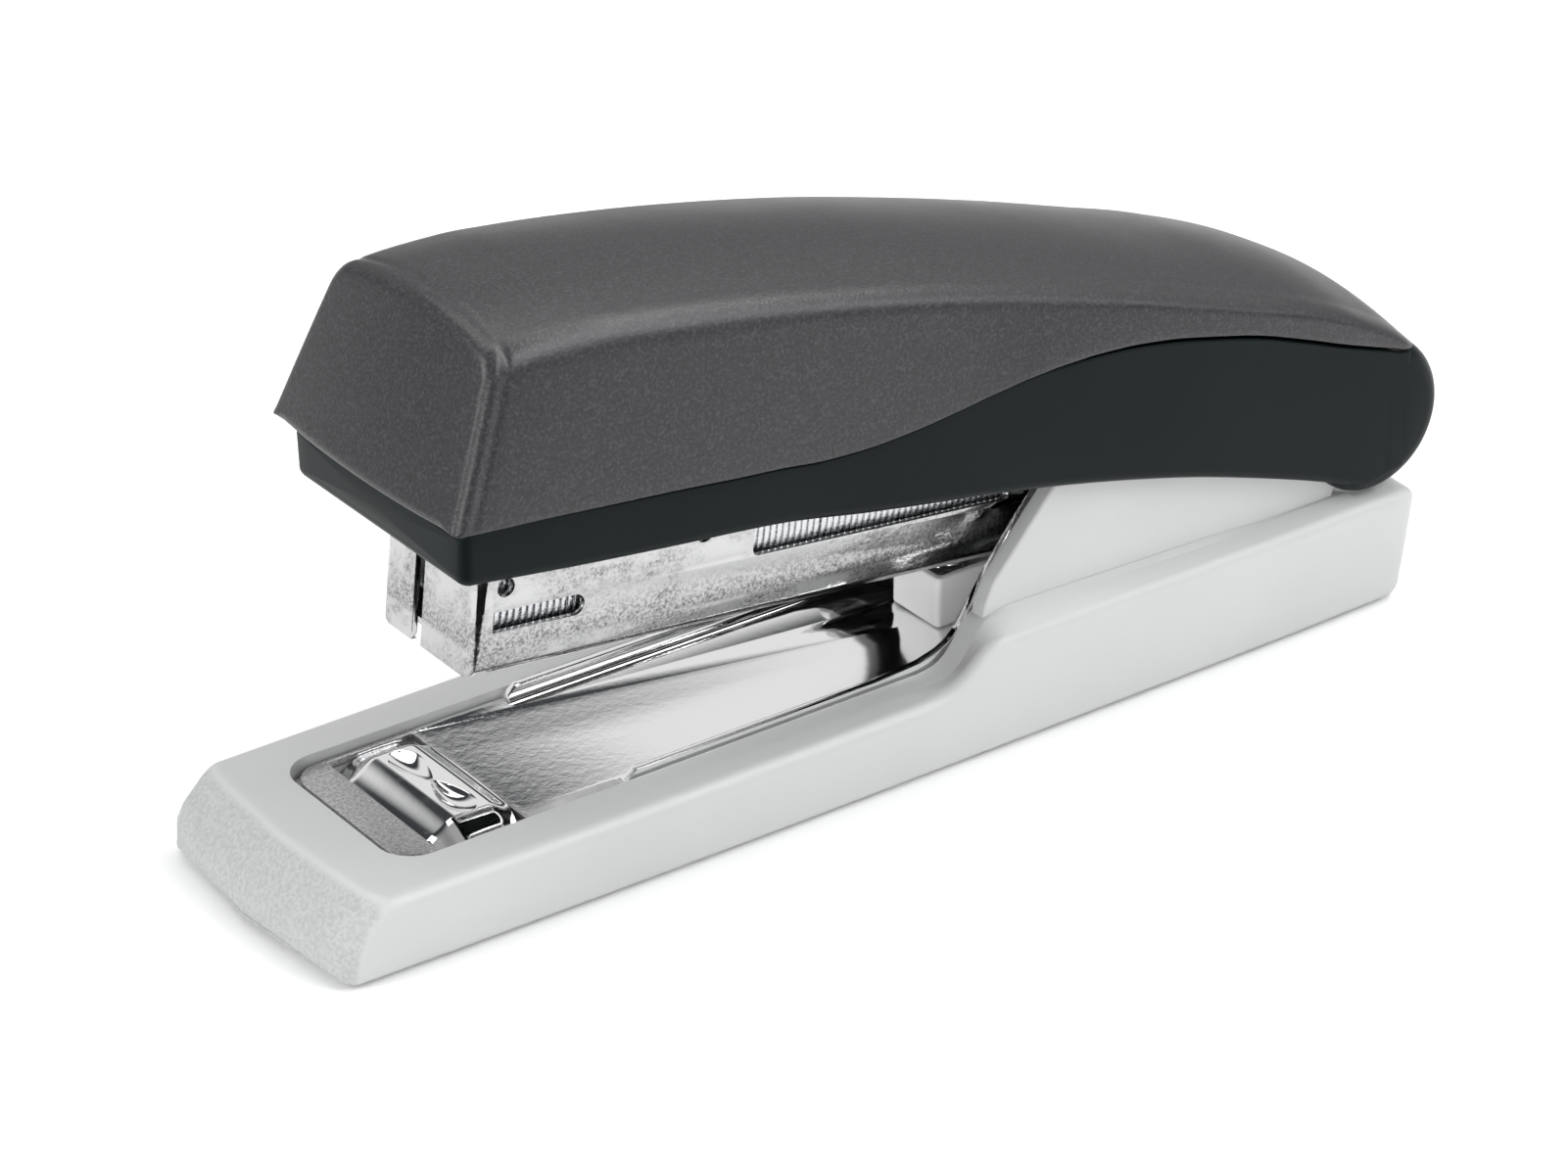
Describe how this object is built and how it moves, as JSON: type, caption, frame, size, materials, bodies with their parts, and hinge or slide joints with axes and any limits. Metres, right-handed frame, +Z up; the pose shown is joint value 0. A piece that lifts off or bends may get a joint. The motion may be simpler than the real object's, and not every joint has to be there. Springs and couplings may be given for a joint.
{
  "type": "stapler",
  "caption": "Desk stapler: dark lift-up handle with crowned cover, chromed staple magazine hinged at the rear, and a pale base with a recessed crimping anvil and rubber feet.",
  "frame": {"origin": "centre of the bounding box in X and Y, on the plane the feet stand on", "axes": "+X from the nose to the hinge end, +Y across the stapler, +Z up"},
  "size_m": [0.1279, 0.0314, 0.0556],
  "materials": {
    "base_plastic": "satin moulded",
    "cover_plastic": "fine spark-textured",
    "frame_plastic": "smooth satin",
    "chrome_plate": "bright plated over rolled sheet",
    "spring_steel": "drawn",
    "staple_wire": "galvanised wire",
    "white_plastic": "moulded",
    "foot_rubber": "matte"
  },
  "bodies": {
    "base": {"base_shell": "base_plastic", "base_plate": "chrome_plate", "anvil": "chrome_plate", "anvil_screw": "spring_steel", "spring_block": "white_plastic", "return_spring": "spring_steel", "hinge_pin": "spring_steel", "plate_screw_front": "spring_steel", "plate_screw_rear": "spring_steel", "foot_pad_front": "foot_rubber", "foot_pad_rear": "foot_rubber"},
    "magazine": {"magazine_channel": "chrome_plate", "staple_rail": "spring_steel", "staple_strip_front": "staple_wire", "staple_strip_rear": "staple_wire", "guide_rod": "spring_steel", "pusher_spring": "spring_steel", "spring_cap": "chrome_plate"},
    "pusher": {"pusher": "spring_steel"},
    "handle": {"top_cover": "cover_plastic", "handle_frame": "frame_plastic", "driver_blade": "spring_steel", "driver_rivet_left": "spring_steel", "driver_rivet_right": "spring_steel", "handle_spring": "spring_steel"}
  },
  "joints": [
    {"name": "magazine_hinge", "type": "hinge", "parent": "base", "child": "magazine", "pos_m": [0.05495, 0, 0.01985], "axis": [0, 1, 0], "range_deg": [-7.4, 0], "stiffness_Nm_per_rad": 0.5, "springref_deg": 17.19, "deforming": ["return_spring"]},
    {"name": "handle_hinge", "type": "hinge", "parent": "magazine", "child": "handle", "pos_m": [0.05495, 0, 0.01985], "axis": [0, 1, 0], "range_deg": [-6, 95], "deforming": ["handle_spring"]},
    {"name": "pusher_slide", "type": "slide", "parent": "magazine", "child": "pusher", "axis": [0.9943, 0, -0.1063], "range_m": [0, 0.008], "stiffness_N_per_m": 150, "springref_m": -0.02, "deforming": ["pusher_spring"]}
  ]
}
